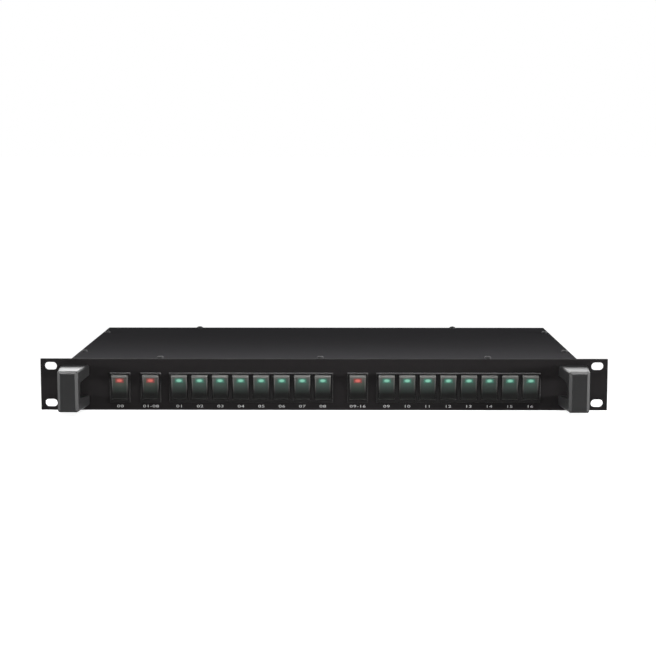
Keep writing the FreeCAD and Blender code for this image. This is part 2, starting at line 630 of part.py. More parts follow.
def build_spacers():
    solids = []
    for across in BOARD_SPACERS:
        base = spot(across, PANEL_BACK, "cap_up")
        solids.append(hexagon("spacer_width", f"{BOARD_FRONT} - {PANEL_BACK}", base, BACK))
    for across, back in POSTS:
        solids.append(hexagon("spacer_width", "post_height", spot(across, back, "sheet"), UP))
    group("board_spacers", solids)


def build_pan_screws():
    """Pan head screws of the cover and the rear, each with its seat and the way its head points."""
    head = cylinder("screw_head / 2", "screw_head_height", Vector(), UP)
    screw = head.fuse(shank(SCREW_RADIUS, "screw_length", Vector(), -UP)).removeSplitter()
    seats = []
    for across in FRONT_SCREWS:
        seats.append((spot(across, f"{PANEL_FACE} + cover_screw_front", "box_height"), UP))
    for side in (-1, 1):
        for back in SIDE_SCREWS:
            seats.append((spot(f"{side} * {SIDE_SCREWS_OUT}", f"{PANEL_FACE} + {back}", "box_height"), UP))
        for up in REAR_SCREWS:
            seats.append((spot(f"{side} * ({HALF_BOX} - rear_screw_side)", REAR_FACE, up), BACK))
    for across in BACK_SCREWS:
        seats.append((spot(across, f"{REAR_FACE} - cover_screw_rear", "box_height"), UP))
    solids = []
    for seat, out in seats:
        copy = screw.copy()
        copy.Placement = FreeCAD.Placement(seat, FreeCAD.Rotation(UP, out))
        solids.append(copy)
    group("pan_screws", solids)


def build_relay_board():
    body = new_body("relay_board", up=RELAY_BOARD_UNDER)
    sketch = new_sketch(body, "plate", "XY_Plane")
    half = "relay_board_width / 2"
    rectangle(sketch, f"relay_board_across - {half}", RELAY_BOARD_FRONT,
              f"relay_board_across + {half}", RELAY_BOARD_REAR)
    pad(body, sketch, "board_thickness")


def build_relays():
    front = f"{RELAY_BOARD_FRONT} + relay_forward"
    middle = f"({RELAY_BOARD_TOP} + relay_height / 2)"
    group("relays", [box(across, front, middle, "relay_width", "relay_depth", "relay_height")
                     for across in RELAYS])


def shell_outline(sketch, across, up, gap):
    """D shape, wider at the top, grown by a gap."""
    wide, narrow = f"(connector_shell_top / 2 + {gap})", f"(connector_shell_bottom / 2 + {gap})"
    half = f"(connector_shell_height / 2 + {gap})"
    outline(sketch, [(f"{across} - {narrow}", f"{up} - {half}"), (f"{across} + {narrow}", f"{up} - {half}"),
                     (f"{across} + {wide}", f"{up} + {half}"), (f"{across} - {wide}", f"{up} + {half}")])


def build_connectors():
    """Four multi-way connectors on the rear edge of the relay board."""
    body = new_body("link_connectors", back=REAR_INNER)
    sketch = new_sketch(body, "plates", "XZ_Plane")
    for across in CONNECTORS:
        centred(sketch, across, "connector_up", "connector_plate_width", "connector_plate_height")
    pad(body, sketch, "connector_plate")
    sketch = new_sketch(body, "shells", "XZ_Plane")
    for across in CONNECTORS:
        shell_outline(sketch, across, "connector_up", "0")
    pad(body, sketch, "sheet + connector_shell_reach", reverse=True)
    end = value("sheet + connector_shell_reach")
    dress(body, "Fillet", "connector_shell_corner", lambda edge: along(edge, BACK)
          and near(edge.BoundBox.YMax, end))
    sketch = new_sketch(body, "housings", "XZ_Plane", "connector_plate")
    for across in CONNECTORS:
        half = "connector_body_width / 2"
        rectangle(sketch, f"{across} - {half}", RELAY_BOARD_TOP, f"{across} + {half}",
                  "connector_up + connector_plate_height / 2")
    pad(body, sketch, "connector_body_depth")


def build_connector_posts():
    solids = []
    for across in CONNECTORS:
        for side in (-1, 1):
            seat = spot(f"{across} + {side} * connector_post_spacing / 2", REAR_FACE, "connector_up")
            bar = hexagon("connector_post_width", "connector_post_reach", seat, BACK)
            mouth = seat + BACK * value("connector_post_reach")
            bore = cylinder("connector_post_bore / 2", "connector_post_bore_depth", mouth, -BACK)
            solids.append(bar.cut(bore))
    group("connector_posts", solids)


def build_inlet():
    body = new_body("mains_inlet", "inlet_across", REAR_FACE, "inlet_up")
    sketch = new_sketch(body, "bezel", "XZ_Plane")
    centred(sketch, "0", "0", "inlet_bezel_width", "inlet_bezel_height")
    pad(body, sketch, "inlet_bezel", reverse=True)
    sketch = new_sketch(body, "housing", "XZ_Plane")
    centred(sketch, "0", "0", "inlet_body_width", "inlet_body_height")
    pad(body, sketch, "inlet_body_depth")
    sketch = new_sketch(body, "socket", "XZ_Plane", "0 - inlet_bezel")
    half, rise, cut = "(inlet_socket_width / 2)", "(inlet_socket_height / 2)", "inlet_socket_corner"
    outline(sketch, [(f"0 - {half}", f"0 - {rise}"), (half, f"0 - {rise}"),
                     (half, f"{rise} - {cut}"), (f"{half} - {cut}", rise),
                     (f"{cut} - {half}", rise), (f"0 - {half}", f"{rise} - {cut}")])
    pocket(body, sketch, "inlet_socket_depth", reverse=True)
    sketch = new_sketch(body, "pins", "XZ_Plane", "inlet_socket_depth - inlet_bezel")
    for step in (-1, 1):
        centred(sketch, f"{step} * inlet_pin_pitch", "0 - inlet_earth_down",
                "inlet_pin_width", "inlet_pin_height")
    centred(sketch, "0", "inlet_pin_up", "inlet_pin_width", "inlet_pin_height")
    pad(body, sketch, "inlet_pin_length", reverse=True)


def build_transformer():
    body = new_body("power_transformer", "transformer_across", f"{PANEL_FACE} + transformer_setback", "sheet")
    sketch = new_sketch(body, "block", "XY_Plane")
    centred(sketch, "0", "0", "transformer_width", "transformer_depth")
    pad(body, sketch, "transformer_height")
    dress(body, "Fillet", "transformer_corner", lambda edge: along(edge, UP))
    sketch = new_sketch(body, "lugs", "XY_Plane")
    reach = "(transformer_width / 2 + transformer_lug_reach)"
    for end in (-1, 1):
        middle = f"({end} * (transformer_depth - transformer_lug_width) / 2)"
        inner = f"(transformer_width / 2 - transformer_corner)"
        for side in (-1, 1):
            outline(sketch, [(f"{side} * {inner}", f"{middle} - transformer_lug_width / 2"),
                             (f"{side} * {reach}", f"{middle} - transformer_lug_width / 2"),
                             (f"{side} * {reach}", f"{middle} + transformer_lug_width / 2"),
                             (f"{side} * {inner}", f"{middle} + transformer_lug_width / 2")])
    pad(body, sketch, "transformer_lug_height")


def build_cable():
    """Flat cable with a plug on the back of the button board and one on the relay board."""
    start = f"({BOARD_BACK} + plug_length)"
    drop = f"({RELAY_BOARD_FRONT} + cable_board_inset)"
    landing = f"({RELAY_BOARD_TOP} + plug_length)"
    middle, half = "plug_up", "(cable_thickness / 2)"
    body = new_body("ribbon_cable", "cable_across")
    sketch = new_sketch(body, "run", "YZ_Plane")
    outline(sketch, [(start, f"{middle} - {half}"), (f"{drop} - cable_bend", f"{middle} - {half}"),
                     (f"{drop} - {half}", f"{middle} - cable_bend"), (f"{drop} - {half}", landing),
                     (f"{drop} + {half}", landing), (f"{drop} + {half}", f"{middle} - cable_bend"),
                     (f"{drop} - cable_bend", f"{middle} + {half}"), (start, f"{middle} + {half}")],
            {1: (f"cable_bend - {half}", -1), 5: (f"cable_bend + {half}", 1)})
    pad(body, sketch, "cable_width", both_sides=True)
    sketch = new_sketch(body, "board_plug", "XZ_Plane", f"0 - {BOARD_BACK}")
    centred(sketch, "0", middle, "plug_width", "plug_depth")
    pad(body, sketch, "plug_length", reverse=True)
    sketch = new_sketch(body, "relay_plug", "XY_Plane", RELAY_BOARD_TOP)
    centred(sketch, "0", drop, "plug_width", "plug_depth")
    pad(body, sketch, "plug_length")


def main():
    build_front_panel()
    build_bezels()
    build_handle("handle_left", -1)
    build_handle("handle_right", 1)
    build_handle_screws()
    for name, across in BUTTONS:
        build_cap(name, across)
        build_window(name, across)
    build_cover()
    build_side("side_left", -1)
    build_side("side_right", 1)
    build_base()
    build_rear_panel()
    build_front_rail()
    build_button_board()
    build_switch_modules()
    build_spacers()
    build_pan_screws()
    build_relay_board()
    build_relays()
    build_connectors()
    build_connector_posts()
    build_inlet()
    build_transformer()
    build_cable()
    doc.recompute()
    for item in doc.Objects:
        if {"Invalid", "Error"} & set(item.State):
            raise RuntimeError(f"{item.Name} failed: {item.State}")
    os.makedirs("parts", exist_ok=True)
    for item in nodes:
        if item.Shape.isNull() or not item.Shape.isValid():
            raise RuntimeError(f"{item.Label} has no valid shape")
        item.Shape.exportStep(f"parts/{item.Label}.step")
    print(f"{len(nodes)} nodes, {sum(len(item.Shape.Solids) for item in nodes)} solids")


main()
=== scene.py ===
import json
import logging
import math
from dataclasses import dataclass, field
from enum import Enum
from typing import Sequence

import bmesh
import bpy
from mathutils import Matrix, Vector

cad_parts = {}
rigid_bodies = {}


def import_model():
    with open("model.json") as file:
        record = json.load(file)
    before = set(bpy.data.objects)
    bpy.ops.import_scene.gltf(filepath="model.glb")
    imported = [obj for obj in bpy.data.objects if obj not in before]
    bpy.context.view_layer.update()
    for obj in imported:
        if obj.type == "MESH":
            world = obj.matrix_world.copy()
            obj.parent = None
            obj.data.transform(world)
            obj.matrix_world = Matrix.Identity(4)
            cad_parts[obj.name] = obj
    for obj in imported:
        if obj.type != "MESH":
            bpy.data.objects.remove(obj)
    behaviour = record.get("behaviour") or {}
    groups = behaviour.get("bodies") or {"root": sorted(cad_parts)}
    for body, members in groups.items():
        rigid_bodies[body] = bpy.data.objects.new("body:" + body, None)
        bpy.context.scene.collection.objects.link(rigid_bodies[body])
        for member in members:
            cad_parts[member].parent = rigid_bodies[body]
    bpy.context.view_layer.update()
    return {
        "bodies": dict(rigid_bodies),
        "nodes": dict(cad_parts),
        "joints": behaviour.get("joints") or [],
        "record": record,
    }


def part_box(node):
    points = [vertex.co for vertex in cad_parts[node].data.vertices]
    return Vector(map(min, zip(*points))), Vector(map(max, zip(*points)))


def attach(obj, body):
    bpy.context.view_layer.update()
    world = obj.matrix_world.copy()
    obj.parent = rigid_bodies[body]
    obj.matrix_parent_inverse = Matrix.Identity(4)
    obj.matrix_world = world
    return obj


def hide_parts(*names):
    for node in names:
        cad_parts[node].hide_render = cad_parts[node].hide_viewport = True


log = logging.getLogger("rack_selector")

Triple = tuple[float, float, float]
Colour = Triple

# Where an edge's lightening, abrasion and painted edge highlight in one, starts and is full: one minus the
# cosine between its rounded and its true normal
WEAR_SHEEN_START, WEAR_SHEEN_FULL = 0.02, 0.3
# The least share of the lightening that an edge gets, abrasion and painted highlight in one, and how much
# its patches add
WEAR_SHEEN_LEAST, WEAR_SHEEN_VARIES = 0.6, 0.8
# The sizes of the patches of edge lightening and of roughness, as shares of the mottle's size
WEAR_SHEEN_PATCH, SCUFF_PATCH = 0.3, 0.4
BEVEL_SAMPLES = 6
COAT_ROUGHNESS = 0.1
# Points nearer than this are one, and edges with a cross product under this are parallel, in metres
MERGE_WITHIN, ALIGNED_WITHIN = 1e-7, 1e-9
# The height of a digit in the built-in lettering, as a share of the text's size
DIGIT_SHARE = 0.69


# Shader maths


class Wiring:
    """The node tree of one material or of the world."""

    def __init__(self, tree: bpy.types.NodeTree) -> None:
        """Start from an empty tree."""
        tree.nodes.clear()
        self.tree = tree

    def node(self, kind: str, settings: dict[str, object] | None = None,
             **values: object) -> bpy.types.Node:
        """Add a node, set it up, then give its sockets values or links.

        Args:
            kind: The node's type.
            settings: Attributes that are set before the sockets.
            values: Socket values or signals by socket name, with _ for a space.

        Returns:
            The new node.
        """
        made = self.tree.nodes.new(kind)
        for name, setting in (settings or {}).items():
            setattr(made, name, setting)
        for name, given in values.items():
            self.feed(made.inputs[name.replace("_", " ")], given)
        return made

    def feed(self, socket: bpy.types.NodeSocket, given: object) -> None:
        """Link a signal into a socket, or set its value.

        Args:
            socket: The socket.
            given: A signal, a number, a colour or a vector.
        """
        if isinstance(given, Signal):
            self.tree.links.new(given.socket, socket)
        elif isinstance(given, tuple) and len(given) == 3 and socket.type == "RGBA":
            socket.default_value = (*given, 1.0)
        else:
            socket.default_value = given

    def maths(self, operation: str, *values: object, clamp: bool = False) -> "Signal":
        """Add a Math node.

        Args:
            operation: What it works out.
            values: Its inputs in order.
            clamp: Whether its result stays between 0 and 1.

        Returns:
            Its result.
        """
        made = self.node("ShaderNodeMath", {"operation": operation, "use_clamp": clamp})
        for socket, given in zip(made.inputs, values):
            self.feed(socket, given)
        return Signal(self, made.outputs[0])

    def scaled(self, colour: "Colour | Signal", amount: "Signal") -> "Signal":
        """Make a colour lighter or darker by a signal.

        Args:
            colour: The colour.
            amount: How many times as light it gets.

        Returns:
            The new colour.
        """
        made = self.node("ShaderNodeVectorMath", {"operation": "SCALE"}, Scale=amount)
        self.feed(made.inputs[0], colour)
        return Signal(self, made.outputs["Vector"])

    def blended(self, low: "Colour | Signal", high: "Colour | Signal", share: "Signal") -> "Signal":
        """Mix two colours.

        Args:
            low: The colour where the share is 0.
            high: The colour where the share is 1.
            share: The share, from 0 to 1.

        Returns:
            The mixed colour.
        """
        made = self.node("ShaderNodeMix", {"data_type": "RGBA"})
        for name, given in (("Factor_Float", share), ("A_Color", low), ("B_Color", high)):
            socket = next(item for item in made.inputs if item.identifier == name)
            self.feed(socket, given)
        return Signal(self, next(item for item in made.outputs if item.identifier == "Result_Color"))

    def rays(self) -> tuple["Signal", "Signal"]:
        """Tell rays apart, for a floor or a sky that reads white.

        Returns:
            Whether a ray comes straight from the camera, and whether it was mirrored or refracted.
        """
        path = self.node("ShaderNodeLightPath")
        straight, glossy, through = (Signal(self, path.outputs[f"Is {kind} Ray"])
                                     for kind in ("Camera", "Glossy", "Transmission"))
        return straight, (glossy + through).clamped()

    def place(self) -> tuple["Signal", "Signal", "Signal"]:
        """Read Object coordinates.

        Returns:
            How far across, back and up a point is, in metres.
        """
        made = self.node("ShaderNodeTexCoord")
        apart = self.node("ShaderNodeSeparateXYZ", Vector=Signal(self, made.outputs["Object"]))
        return tuple(Signal(self, apart.outputs[axis]) for axis in "XYZ")

    def noise(self, size: float, detail: float = 2.0, stretch: Triple = (1.0, 1.0, 1.0)) -> "Signal":
        """Make soft noise on Object coordinates.

        Args:
            size: The size of one blotch, in metres.
            detail: How many finer layers it has.
            stretch: How much longer a blotch is along each axis.

        Returns:
            The noise, from 0 to 1.
        """
        made = self.node("ShaderNodeTexCoord")
        mapped = self.node("ShaderNodeMapping", Vector=Signal(self, made.outputs["Object"]),
                           Scale=tuple(1.0 / longer for longer in stretch))
        spots = self.node("ShaderNodeTexNoise", Vector=Signal(self, mapped.outputs[0]),
                          Scale=1.0 / size, Detail=detail)
        return Signal(self, spots.outputs[0])


class Signal:
    """An output socket that can stand in a Python expression."""

    def __init__(self, wiring: Wiring, socket: bpy.types.NodeSocket) -> None:
        """Wrap a socket of a tree."""
        self.wiring = wiring
        self.socket = socket

    def __add__(self, other: object) -> "Signal":
        """The sum."""
        return self.wiring.maths("ADD", self, other)

    def __sub__(self, other: object) -> "Signal":
        """The difference."""
        return self.wiring.maths("SUBTRACT", self, other)

    def __rsub__(self, other: object) -> "Signal":
        """The difference, from a number."""
        return self.wiring.maths("SUBTRACT", other, self)

    def __mul__(self, other: object) -> "Signal":
        """The product."""
        return self.wiring.maths("MULTIPLY", self, other)

    def __truediv__(self, other: object) -> "Signal":
        """The quotient."""
        return self.wiring.maths("DIVIDE", self, other)

    def __pow__(self, other: object) -> "Signal":
        """The power."""
        return self.wiring.maths("POWER", self, other)

    def __abs__(self) -> "Signal":
        """The size without its sign."""
        return self.wiring.maths("ABSOLUTE", self)

    def clamped(self) -> "Signal":
        """The signal kept between 0 and 1."""
        return self.wiring.maths("ADD", self, 0.0, clamp=True)

    def between(self, low: float, high: float) -> "Signal":
        """Make a smooth step.

        Args:
            low: Where the step is 0.
            high: Where it is 1.

        Returns:
            The step.
        """
        made = self.wiring.node("ShaderNodeMapRange", {"interpolation_type": "SMOOTHSTEP"},
                                Value=self, From_Min=low, From_Max=high)
        return Signal(self.wiring, made.outputs[0])

    __radd__ = __add__
    __rmul__ = __mul__


# Finishes


@dataclass(frozen=True)
class Finish:
    """A painted, moulded or plated surface.

    Sizes are in metres. Mottle is how much the colour varies, scuff how much the roughness does, grain how
    deep the fine bumps are, and edge how round the edges look. The edges are then blended by a share
    towards a set edge colour: this is edge abrasion and, on the dark finishes, a painted highlight along
    every edge.
    """

    name: str
    colour: Colour
    roughness: float = 0.5
    metallic: float = 0.0
    specular: float = 0.5
    coat: float = 0.0
    mottle: float = 0.08
    mottle_size: float = 0.03
    grain: float = 0.00001
    grain_size: float = 0.0006
    scuff: float = 0.05
    edge: float = 0.0002
    wear_and_sheen: float = 0.25
    wear_and_sheen_colour: Colour = (0.09, 0.09, 0.09)
    stretch: Triple = (1.0, 1.0, 1.0)

    def tint(self, wiring: Wiring) -> Signal:
        """The colour over the surface."""
        shade = wiring.noise(self.mottle_size, detail=3.0, stretch=self.stretch)
        return wiring.scaled(self.colour, 1.0 + (shade - 0.5) * (2.0 * self.mottle))

    def edge_wear_and_sheen(self, wiring: Wiring, colour: Signal, rounded: Signal) -> Signal:
        """Lighten the edges, as abrasion and, on dark finishes, as a painted edge highlight.

        Args:
            wiring: The material's node tree.
            colour: The colour before.
            rounded: The normal with its edges rounded, which leaves the true one near an edge.

        Returns:
            The colour with its lightened edges.
        """
        flat = wiring.node("ShaderNodeNewGeometry")
        turn = wiring.node("ShaderNodeVectorMath", {"operation": "DOT_PRODUCT"})
        wiring.feed(turn.inputs[0], rounded)
        wiring.feed(turn.inputs[1], Signal(wiring, flat.outputs["True Normal"]))
        # The edge mask, used for abrasion and for the painted edge highlight alike
        wear_and_sheen_mask = (1.0 - Signal(wiring, turn.outputs["Value"])).between(WEAR_SHEEN_START, WEAR_SHEEN_FULL)
        patch = WEAR_SHEEN_LEAST + wiring.noise(self.mottle_size * WEAR_SHEEN_PATCH, detail=3.0) * WEAR_SHEEN_VARIES
        return wiring.blended(colour, self.wear_and_sheen_colour, wear_and_sheen_mask * (self.wear_and_sheen * patch))

    def dress(self, wiring: Wiring, shader: bpy.types.Node) -> None:
        """Feed what a finish has of its own into the shader. A plain one has nothing.

        Args:
            wiring: The material's node tree.
            shader: Its shader.
        """

    def make(self) -> bpy.types.Material:
        """Build the material.

        Returns:
            The material.
        """
        material = bpy.data.materials.new(self.name)
        material.use_nodes = True
        wiring = Wiring(material.node_tree)
        fine = wiring.noise(self.grain_size, stretch=self.stretch)
        soft = wiring.node("ShaderNodeBevel", {"samples": BEVEL_SAMPLES}, Radius=self.edge)
        rounded = Signal(wiring, soft.outputs[0])
        bump = wiring.node("ShaderNodeBump", Strength=1.0, Distance=self.grain, Height=fine, Normal=rounded)
        patch = wiring.noise(self.mottle_size * SCUFF_PATCH, detail=3.0, stretch=self.stretch)
        shader = wiring.node(
            "ShaderNodeBsdfPrincipled", Base_Color=self.edge_wear_and_sheen(wiring, self.tint(wiring), rounded),
            Metallic=self.metallic, Specular_IOR_Level=self.specular,
            Roughness=(self.roughness + (patch - 0.5) * (2.0 * self.scuff)).clamped(),
            Coat_Weight=self.coat, Coat_Roughness=COAT_ROUGHNESS,
            Normal=Signal(wiring, bump.outputs[0]))
        self.dress(wiring, shader)
        wiring.node("ShaderNodeOutputMaterial", Surface=Signal(wiring, shader.outputs[0]))
        return material


@dataclass(frozen=True)
class TrimFinish(Finish):
    """Moulded trim whose lip, above a height, is painted lighter as a highlight."""

    lip: float = 0.0
    lip_blur: float = 0.0001
    lip_highlight_colour: Colour = (0.05, 0.049, 0.05)

    def tint(self, wiring: Wiring) -> Signal:
        """Paint a highlight above the lip's height.

        Args:
            wiring: The material's node tree.

        Returns:
            The colour over the surface.
        """
        _, _, up = wiring.place()
        # Painted highlight on the top lip, standing in for light from above
        lip_highlight = up.between(self.lip - self.lip_blur, self.lip + self.lip_blur)
        return wiring.blended(Finish.tint(self, wiring), self.lip_highlight_colour, lip_highlight)


@dataclass(frozen=True)
class CapFinish(Finish):
    """Dark moulding of one button cap, with painted shading that makes it lighter towards its top, and
    painted highlights along its top crest, its side rims and the line at its foot.

    The bands and the start of the painted shading are heights, from -1 at the cap's foot to 1 at its top.
    The rim highlight fades in between its two fade widths, counted in rims from the cap's side.
    """

    centre: Vector = field(default_factory=Vector)
    half_width: float = 0.0067
    half_height: float = 0.0105
    rim: float = 0.0011
    rim_highlight_fade: tuple[float, float] = (1.25, 0.75)
    # The hue of the painted light on the upper cap, and the pale colour of its painted highlights
    painted_light_hue: Colour = (0.09, 0.13, 0.112)
    ridge_highlight: Colour = (0.112, 0.112, 0.107)
    halo: Colour = (0.001, 0.008, 0.006)
    lamp_up: float = 0.005
    halo_reach: float = 0.0065
    halo_narrow: float = 0.6
    # Where the painted shading starts, and the bands and shares of the painted highlights
    shading_from: float = -0.55
    rim_highlight_band: tuple[float, float] = (-0.45, 0.3)
    ridge_highlight_band: tuple[float, float] = (0.35, 0.8)
    foot_highlight_band: tuple[float, float] = (-0.97, -0.93)
    rim_highlight_share: float = 0.3
    foot_highlight_share: float = 0.4

    def tint(self, wiring: Wiring) -> Signal:
        """Paint shading from black low down to a lit hue higher up, and pale painted highlights at the top
        crest, rims and foot line.

        Args:
            wiring: The material's node tree.

        Returns:
            The colour over the surface.
        """
        across, _, up = wiring.place()
        height = (up - self.centre.z) / self.half_height
        side = abs(across - self.centre.x)
        # Painted highlights: a band along each side rim, and a line at the foot
        rim = side.between(*(self.half_width - self.rim * width for width in self.rim_highlight_fade))
        foot = 1.0 - height.between(*self.foot_highlight_band)
        # Painted shading: lighter from low down towards the top
        painted_shading = ((height - self.shading_from) / (1.0 - self.shading_from)).clamped()
        share = painted_shading + rim * height.between(*self.rim_highlight_band) * self.rim_highlight_share + foot * self.foot_highlight_share
        # Where the painted highlights and the top crest turn pale instead of taking the lit hue
        highlight_mix = height.between(*self.ridge_highlight_band) + rim + foot
        painted_light_colour = wiring.blended(self.painted_light_hue, self.ridge_highlight, highlight_mix.clamped())
        shade = wiring.noise(self.mottle_size)
        plain = wiring.scaled(self.colour, 1.0 + (shade - 0.5) * (2.0 * self.mottle))
        return wiring.blended(plain, painted_light_colour, share.clamped())

    def dress(self, wiring: Wiring, shader: bpy.types.Node) -> None:
        """Let the lamp shine faintly through the moulding round the window.

        Args:
            wiring: The material's node tree.
            shader: Its shader.
        """
        across, _, up = wiring.place()
        aside = (across - self.centre.x) / self.half_width
        below = (up - (self.centre.z + self.lamp_up)) / self.halo_reach
        level = (1.0 - aside * aside * self.halo_narrow - below * below).clamped() ** 2.0
        wiring.feed(shader.inputs["Emission Color"], wiring.scaled(self.halo, level))
        shader.inputs["Emission Strength"].default_value = 1.0


@dataclass(frozen=True)
class WindowFinish(Finish):
    """Frosted window of one button, brightest in front of its lamp.

    The falls say how fast the light fades, first towards the sides and then towards the top and bottom.
    """

    centre: Vector = field(default_factory=Vector)
    half_width: float = 0.0035
    half_height: float = 0.002
    glow: Colour = (0.2, 0.4, 0.3)
    core: Colour = (0.3, 0.6, 0.5)
    corner_fall: tuple[float, float] = (0.3, 0.25)
    core_fall: tuple[float, float] = (1.9, 1.7)
    core_peak: float = 1.25
    frost: float = 0.36
    frost_size: float = 0.0011

    def dress(self, wiring: Wiring, shader: bpy.types.Node) -> None:
        """Light the window from behind.

        Args:
            wiring: The material's node tree.
            shader: Its shader.
        """
        across, _, up = wiring.place()
        aside = (across - self.centre.x) / self.half_width
        above = (up - self.centre.z) / self.half_height
        aside, above = aside * aside, above * above
        inner = 1.0 - aside * aside * self.corner_fall[0] - above * above * self.corner_fall[1]
        hot = self.core_peak - aside * self.core_fall[0] - above * self.core_fall[1]
        light = wiring.blended(self.glow, self.core, hot.clamped())
        frost = 1.0 - self.frost / 2 + wiring.noise(self.frost_size, detail=3.0) * self.frost
        level = inner.clamped() * frost
        wiring.feed(shader.inputs["Emission Color"], wiring.scaled(light, level))
        shader.inputs["Emission Strength"].default_value = 1.0


# Meshes


def new_mesh(name: str, shape: bmesh.types.BMesh, finish: bpy.types.Material) -> bpy.types.Object:
    """Turn a bmesh into a linked object at the origin.

    Args:
        name: The piece's name.
        shape: The mesh, in metres and in place. It is freed.
        finish: The piece's material.

    Returns:
        The new object.
    """
    bmesh.ops.recalc_face_normals(shape, faces=shape.faces)
    mesh = bpy.data.meshes.new(name)
    shape.to_mesh(mesh)
    shape.free()
    mesh.materials.append(finish)
    piece = bpy.data.objects.new(name, mesh)
    bpy.context.scene.collection.objects.link(piece)
    return piece


def join(shape: bmesh.types.BMesh, other: bmesh.types.BMesh, place: Matrix) -> None:
    """Add a placed copy of another bmesh to a shape.

    Args:
        shape: The shape to add to.
        other: What is copied. It isn't freed.
        place: Where the copy goes.
    """
    mesh = bpy.data.meshes.new("copy")
    other.to_mesh(mesh)
    mesh.transform(place)
    shape.from_mesh(mesh)
    bpy.data.meshes.remove(mesh)


def bar(shape: bmesh.types.BMesh, low: Vector, high: Vector, bevel: float = 0.0) -> None:
    """Add a block between two corners.

    Args:
        shape: The shape to add to.
        low: The block's lowest corner.
        high: Its highest corner.
        bevel: How far its edges are rounded.
    """
    made = bmesh.ops.create_cube(shape, size=1.0)["verts"]
    bmesh.ops.scale(shape, vec=high - low, verts=made)
    bmesh.ops.translate(shape, vec=(low + high) / 2, verts=made)
    if bevel:
        edges = list({edge for vert in made for edge in vert.link_edges})
        bmesh.ops.bevel(shape, geom=edges, offset=bevel, affect="EDGES", segments=2, profile=0.5,
                        material=-1, clamp_overlap=True)


def turned(profile: Sequence[tuple[float, float]], steps: int) -> bmesh.types.BMesh:
    """Turn a half outline about Z into a closed shape.

    Args:
        profile: Radius and height of each point, the first and last on the axis.
        steps: How many facets it gets round.

    Returns:
        The shape.
    """
    shape = bmesh.new()
    points = [shape.verts.new((radius, 0.0, height)) for radius, height in profile]
    edges = [shape.edges.new(pair) for pair in zip(points, points[1:])]
    bmesh.ops.spin(shape, geom=points + edges, cent=(0, 0, 0), axis=(0, 0, 1), angle=math.tau,
                   steps=steps, use_merge=True, use_duplicate=False)
    bmesh.ops.remove_doubles(shape, verts=shape.verts, dist=MERGE_WITHIN)
    return shape


def paint(node: str, finish: bpy.types.Material, frame: dict) -> None:
    """Give a CAD node its finish.

    Args:
        node: The node's name.
        finish: Its material.
        frame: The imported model.
    """
    slots = frame["nodes"][node].data.materials
    slots.clear()
    slots.append(finish)


def middle(node: str) -> Vector:
    """The middle of a CAD node's box."""
    low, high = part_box(node)
    return (low + high) / 2


# Sub-assemblies


class Lamp(Enum):
    """The two colours of lit window: its edge, its middle, the halo round it, and the hue of the painted
    light on the cap.
    """

    RED = ((0.16, 0.035, 0.031), (0.58, 0.112, 0.085), (0.026, 0.012, 0.009), (0.08, 0.108, 0.09))
    GREEN = ((0.03, 0.12, 0.085), (0.2, 0.5, 0.37), (0.001, 0.013, 0.009), (0.088, 0.122, 0.107))


@dataclass
class ButtonRow:
    """The nineteen caps with their windows, whose own colour is a share of their glow."""

    frame: dict
    red: tuple[str, ...] = ("all", "group_1", "group_2")
    unlit_share: float = 0.35

    def names(self) -> list[str]:
        """The buttons, from the names of the bodies that move."""
        return sorted(body.removeprefix("key_") for body in self.frame["bodies"] if body.startswith("key_"))

    def build(self) -> list[str]:
        """Dress every cap and window.

        Returns:
            The pieces dressed.
        """
        done = []
        for name in self.names():
            lamp = Lamp.RED if name in self.red else Lamp.GREEN
            glow, core, halo, painted_light_hue = lamp.value
            # Each cap gets painted shading, lighter towards its top, and painted highlights on its crest,
            # rims and foot line
            cap = CapFinish(f"cap_{name}", (0.0065, 0.0066, 0.0064), roughness=0.36, specular=0.12,
                            mottle=0.05, mottle_size=0.02, grain=0.000004, grain_size=0.0005,
                            edge=0.00018, centre=middle(f"button_{name}"), halo=halo, painted_light_hue=painted_light_hue)
            paint(f"button_{name}", cap.make(), self.frame)
            lens = WindowFinish(f"window_{name}", tuple(part * self.unlit_share for part in glow),
                                roughness=0.3, specular=0.4, mottle_size=0.002, grain=0.000006,
                                grain_size=0.0003, edge=0.0001, centre=middle(f"window_{name}"), glow=glow,
                                core=core)
            paint(f"window_{name}", lens.make(), self.frame)
            done += [f"button_{name}", f"window_{name}"]
        return done


